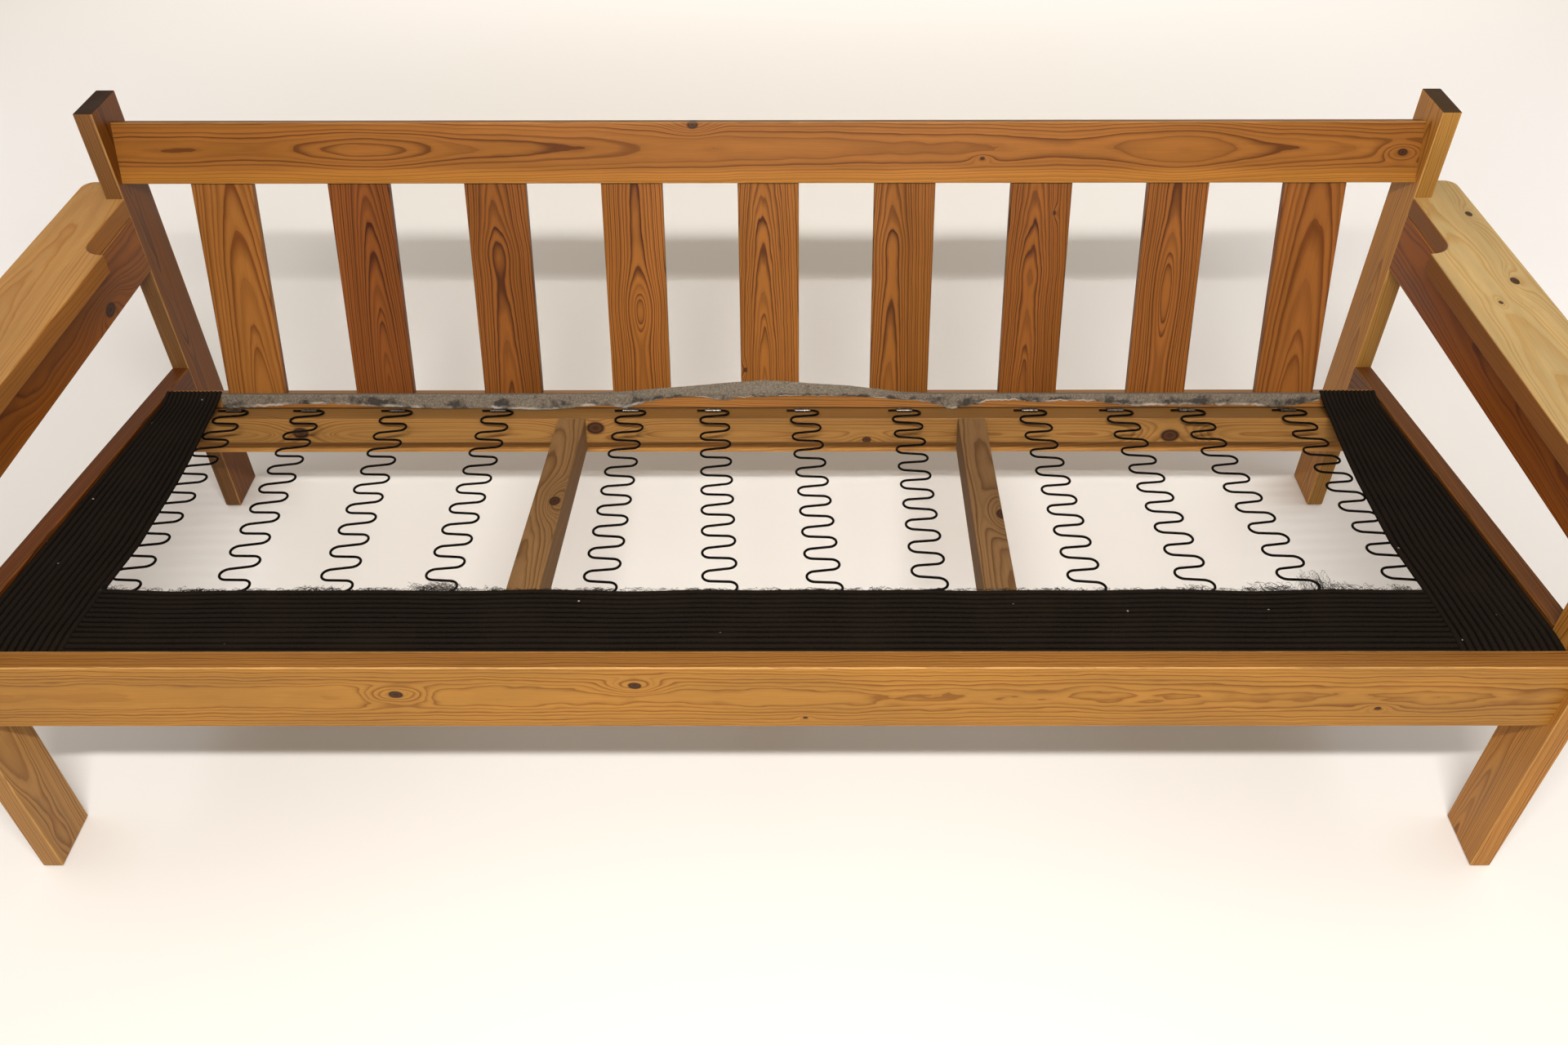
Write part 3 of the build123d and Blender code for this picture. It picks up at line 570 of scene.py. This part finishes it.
def ribbed_strip(name, first_edge, second_edge, steps, height):
    """A strip of cloth whose wales lie side by side from one edge curve to the other.

    first_edge and second_edge give X and Y for a share of the length; height gives Z at X and Y.
    """
    rows = wales_per_strip * points_per_wale
    points = []
    crests = []
    for row in range(rows + 1):
        share = row / rows
        wave = abs(math.sin(math.pi * row / points_per_wale)) ** wale_roundness
        for step in range(steps + 1):
            start, end = first_edge(step / steps), second_edge(step / steps)
            x = start[0] + (end[0] - start[0]) * share
            y = start[1] + (end[1] - start[1]) * share
            shake = unevenness * noise.noise(Vector((x * bumps_per_metre, y * bumps_per_metre, 3.0)))
            points.append((x, y, height(x, y) + cloth_base + wale_height * wave + shake))
            crests.append(wave)
    strip = mesh_object(name, points, grid_faces(rows, steps), corduroy)
    strip.data.attributes.new("crest", "FLOAT", "POINT").data.foreach_set("value", crests)
    return strip


def between(table, place):
    """The value at a place, on straight lines between a table's pairs of place and value."""
    for (start, first), (end, second) in zip(table, table[1:]):
        if place <= end:
            break
    return first + (second - first) * (place - start) / (end - start)


def seat_height(x, y):
    """Height of the cloth's underside: level on the front bearer, then down along the springs."""
    return cloth_front_height - max(0.0, y - level_until) * math.tan(seat_slope)


def front_edge(share):
    """The front strip's straight edge on the front rail."""
    return -seam_front_x + 2 * seam_front_x * share, front_low[1]


tear_wander = 4.0 * millimetre
tear_inset = 2.0 * millimetre
tear_waves_per_metre = 9
front_steps = 240
side_steps = 90


def torn_edge(share):
    """The front strip's back edge, torn unevenly."""
    x = -seam_rear_x + 2 * seam_rear_x * share
    wander = tear_wander * noise.noise(Vector((x * tear_waves_per_metre, 0.0, 5.0)))
    return x, front_high[1] + wander - tear_inset


front_strip = ribbed_strip("corduroy_front", front_edge, torn_edge, front_steps, seat_height)
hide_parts("corduroy_front_strip")

# The side strips' cut edge, as Y and distance from the middle, runs out wider towards the rear.
side_line = [(front_low[1], seam_front_x), (front_high[1], seam_rear_x), (-0.150, 0.8224),
             (0.0, 0.8335), (0.064, 0.8405), (seat_rear_y, side_rear_x), (side_high[1], side_rear_x)]
side_length = side_high[1] - front_low[1]
for side, sign, spring in (("left", -1, "seat_spring_1"), ("right", 1, "seat_spring_12")):
    def outer_edge(share):
        """A side strip's straight edge beside the posts."""
        return sign * side_high[0], front_low[1] + side_length * share

    def cut_edge(share):
        """A side strip's inner edge, over the springs."""
        y = front_low[1] + side_length * share
        return sign * between(side_line, y), y

    def side_height(x, y):
        """Height of a side strip's underside, its rear end turned up on to the lower back rail."""
        turned_up = max(0.0, y - seat_rear_y) / (side_high[1] - seat_rear_y)
        rear_z = seat_height(x, seat_rear_y)
        return seat_height(x, min(y, seat_rear_y)) + turned_up * (side_rear_height - rear_z)

    strip = ribbed_strip(f"corduroy_{side}", outer_edge, cut_edge, side_steps, side_height)
    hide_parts(f"{side}_corduroy_strip")
    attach(strip, "root")


# Where the cover's middle was torn off, weft threads fray out of the front strip's back edge.
# They are grey-black cotton, faded pale in places, in low wisps and one large tangle on the
# eleventh spring. The real threads are finer, and are drawn just thick enough to show.
faded_patches_per_metre = 60.0
frayed, tree = new_material("frayed_cotton_threads")
where = add(tree, "ShaderNodeTexCoord").node.outputs["Object"]
faded = add(tree, "ShaderNodeTexNoise", {
    "Vector": where, "Scale": faded_patches_per_metre, "Detail": 2.0})
tone = add(tree, "ShaderNodeValToRGB", {"Fac": faded}, stops=[
    (0.35, "#0F0D0B"), (0.62, "#2A2623"), (0.74, "#6E675F")])
finish_material(tree, Base_Color=tone, Roughness=0.9, Specular_IOR_Level=0.1)

# Each row is a wisp, in mm: X, half width, reach, lift above the edge, and its number of threads.
# A thin low wisp also stands at every 24 mm of the edge. Roots start a little inside the edge.
wisps = [
    (-818, 10, 12, 6, 30), (-702, 16, 5, 2, 30), (-553, 20, 9, 4, 45), (-480, 14, 6, 3, 30),
    (-409, 22, 14, 6, 130), (-371, 10, 7, 3, 30), (-337, 9, 7, 4, 25), (-209, 14, 6, 3, 30),
    (-66, 14, 5, 3, 25), (78, 18, 5, 3, 30), (143, 8, 7, 3, 20), (294, 12, 4, 3, 18),
    (365, 9, 5, 3, 18), (540, 13, 11, 4, 30), (606, 8, 8, 3, 20), (640, 24, 16, 5, 45),
    (688, 17, 34, 14, 38), (704, 9, 26, 10, 30), (730, 22, 14, 6, 34), (796, 12, 12, 4, 24),
]
edge_end = 808
small_wisp_pitch = 24
wisps += [(x, 16, 6, 2, 9) for x in range(-edge_end, edge_end + 1, small_wisp_pitch)]
thread_radius = 0.26 * millimetre
thread_sides = 3
thread_steps = 12
root_inset = 5.5
root_height = 2.0
sideways_wander = 1.6
upward_wander = 0.5
turned_back_share = 0.6

# Fixed seeds give the same threads in every run.
chance = random.Random(7)
noise.seed_set(7)
points = []
faces = []
for middle_x, half_width, reach, lift, thread_count in wisps:
    for _ in range(thread_count):
        root = middle_x + half_width * chance.uniform(-1.0, 1.0)
        run = half_width * chance.uniform(-1.0, 1.0)
        far = reach * chance.uniform(0.25, 1.0)
        high = lift * chance.uniform(0.2, 1.0)
        turned_back = chance.random() < turned_back_share
        phase = chance.uniform(0.0, 50.0)
        curl = chance.uniform(1.0, 3.5)
        base = len(points)
        for step in range(thread_steps + 1):
            share = step / thread_steps
            out = math.sin(math.pi * share) if turned_back else share
            wander = noise.noise_vector(Vector((phase, 3.0 * share, 0.0))) * curl
            x = (root + run * share + sideways_wander * wander.x) * millimetre
            y = front_high[1] + (far * out - root_inset + wander.y) * millimetre
            rise = (root_height + high * out + upward_wander * wander.z) * millimetre
            z = seat_height(x, y) + rise
            for side in range(thread_sides):
                angle = 2 * math.pi * side / thread_sides
                off_y = thread_radius * math.cos(angle)
                off_z = thread_radius * math.sin(angle)
                points.append((x, y + off_y, z + off_z))
        for step in range(thread_steps):
            for side in range(thread_sides):
                here = base + thread_sides * step
                above = here + thread_sides
                after = (side + 1) % thread_sides
                faces.append((here + side, here + after, above + after, above + side))
threads = mesh_object("frayed_threads", points, faces, frayed)
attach(threads, "root")
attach(front_strip, "root")


# A strip of the cover's old lining, grey wool fleece, is still tacked along the lower back rail.
# Someone tore the rest away: its lower edge is ragged and stained, and its middle stands up loose.

# Matted wool scatters the light evenly. Dark stains gather towards the torn edge, where the cloth is
# also painted darker as shade, and the paler inside shows where the fleece was pulled. The numbers
# are of tufts, stains and pulls to the metre.
fuzz_per_metre = 420.0
stains_per_metre = 45.0
pulls_per_metre = 26.0
lining, tree = new_material("grey_fleece_lining")
where = add(tree, "ShaderNodeTexCoord").node.outputs["Object"]
down = add(tree, "ShaderNodeAttribute", attribute_name="way_down").node.outputs["Fac"]
fuzz = add(tree, "ShaderNodeTexNoise", {"Vector": where, "Scale": fuzz_per_metre, "Detail": 4.0})
dirt = add(tree, "ShaderNodeTexNoise", {
    "Vector": where, "Scale": stains_per_metre, "Detail": 5.0, "Roughness": 0.6})
tone = add(tree, "ShaderNodeValToRGB", {"Fac": fuzz}, stops=[(0.3, "#544C41"), (0.7, "#7A7064")])
# Stains grow likelier towards the torn edge, and this also paints shade there.
low = add(tree, "ShaderNodeMapRange", {"Value": down, 1: 0.35, 2: 0.85, 3: -0.10, 4: 0.09})
stains_and_shade = add(tree, "ShaderNodeMath", {0: dirt, 1: low}, operation="ADD")
stains_and_shade = add(tree, "ShaderNodeMapRange", {"Value": stains_and_shade, 1: 0.52, 2: 0.66, 3: 0.0, 4: 0.85})
tone = add(tree, "ShaderNodeMix", {"Factor": stains_and_shade, 6: tone, 7: linear("#2B2826")},
           data_type="RGBA").node.outputs[2]
seam = add(tree, "ShaderNodeMapRange", {"Value": down, 1: 0.86, 2: 0.93, 3: 0.0, 4: 1.0})
pulled = add(tree, "ShaderNodeTexNoise", {
    "Vector": where, "Scale": pulls_per_metre, "Detail": 3.0})
pulled = add(tree, "ShaderNodeMapRange", {"Value": pulled, 1: 0.47, 2: 0.60, 3: 0.0, 4: 0.6})
pale = add(tree, "ShaderNodeMath", {0: seam, 1: pulled}, operation="MULTIPLY")
tone = add(tree, "ShaderNodeMix", {"Factor": pale, 6: tone, 7: linear("#B9B0A4")},
           data_type="RGBA").node.outputs[2]
normal = add(tree, "ShaderNodeBump", {"Strength": 0.7, "Distance": 0.0005, "Height": fuzz})
finish_material(tree, Base_Color=tone, Roughness=0.95, Specular_IOR_Level=0.1, Normal=normal)

# Both tables are in mm, as a place along the rail and how far the torn edge hangs down there, or
# how far the loose cloth stands up.
torn = [
    (-862, 20), (-815, 19), (-740, 14), (-690, 13), (-630, 17), (-568, 20), (-507, 22), (-445, 21),
    (-383, 26), (-352, 27), (-300, 18), (-259, 16), (-228, 21), (-197, 11), (-166, 5), (-135, 2),
    (-104, 2), (-90, 6), (-62, 7), (-48, 3), (50, 0), (142, 2), (204, 7), (235, 9), (266, 16),
    (286, 25), (300, 18), (326, 16), (340, 9), (390, 8), (420, 12), (455, 9), (512, 10), (543, 15),
    (575, 18), (640, 16), (760, 17), (791, 20), (821, 17), (862, 9),
]
standing = [
    (-862, 0), (-300, 0), (-228, 3), (-158, 9), (-120, 12), (-68, 17), (-10, 21), (28, 19),
    (60, 16), (124, 12), (173, 6), (204, 2), (250, 0), (862, 0),
]
lining_half = 861.7
lining_columns = 560
rise_rows = 5
top_rows = 3
fall_rows = 9
row_count = rise_rows + top_rows + fall_rows

# A cut through the cloth runs from its rear edge over a ridge and a front bend down to the torn
# edge. Depths in mm go through the back and heights up it, from the rail's top front arris.
rear_edge_depth = 5.8
ridge_depth = 3.4
front_depth = -1.9
ridge_height = 1.4
bend_height = 1.2
coarse_rag = 2.2
coarse_rag_length = 9
fine_rag = 1.4
fine_rag_length = 3
least_fall = -2.0
crumple_length = 17
crumple_rows = 4
bearer_top_depth = 21.0
lie_out_on_bearer = 1.6
back_base = Vector((0.0, 0.24375, 0.3114))
through_the_back = Vector((0, math.cos(back_lean), -math.sin(back_lean)))

points = []
ways_down = []
for column in range(lining_columns + 1):
    x = lining_half * (2 * column / lining_columns - 1)
    stand = between(standing, x)
    rag = coarse_rag * noise.noise(Vector((x / coarse_rag_length, 0.0, 2.0)))
    rag += fine_rag * noise.noise(Vector((x / fine_rag_length, 0.0, 8.0)))
    fall = max(between(torn, x) + rag, least_fall)
    bend_depth = front_depth - 0.05 * stand
    outline = [(rear_edge_depth, ridge_height + stand), (ridge_depth, ridge_height + 0.55 * stand),
               (bend_depth, bend_height + 0.2 * stand), (bend_depth, -fall)]
    for row in range(row_count + 1):
        if row < rise_rows:
            part, share = 0, row / rise_rows
        elif row < rise_rows + top_rows:
            part, share = 1, (row - rise_rows) / top_rows
        else:
            part, share = 2, (row - rise_rows - top_rows) / fall_rows
        start, end = outline[part:part + 2]
        depth = start[0] + (end[0] - start[0]) * share
        height = start[1] + (end[1] - start[1]) * share

        # Cloth that hangs past the bearer's top lies out on it, and loose cloth crumples more.
        over = max(0.0, -height - bearer_top_depth)
        crumple = abs(noise.noise(Vector((x / crumple_length, row / crumple_rows, 1.0))))
        crumple *= 0.9 + 0.12 * stand
        depth -= lie_out_on_bearer * over + crumple
        height += over + 0.4 * crumple
        place = back_base + (through_the_back * depth + up_the_back * height) * millimetre
        points.append((x * millimetre, place.y, place.z))
        ways_down.append(row / row_count)
lining_strip = mesh_object("torn_lining", points, grid_faces(lining_columns, row_count), lining)
lining_strip.data.attributes.new("way_down", "FLOAT", "POINT").data.foreach_set("value", ways_down)
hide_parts("lining_remnant")
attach(lining_strip, "root")
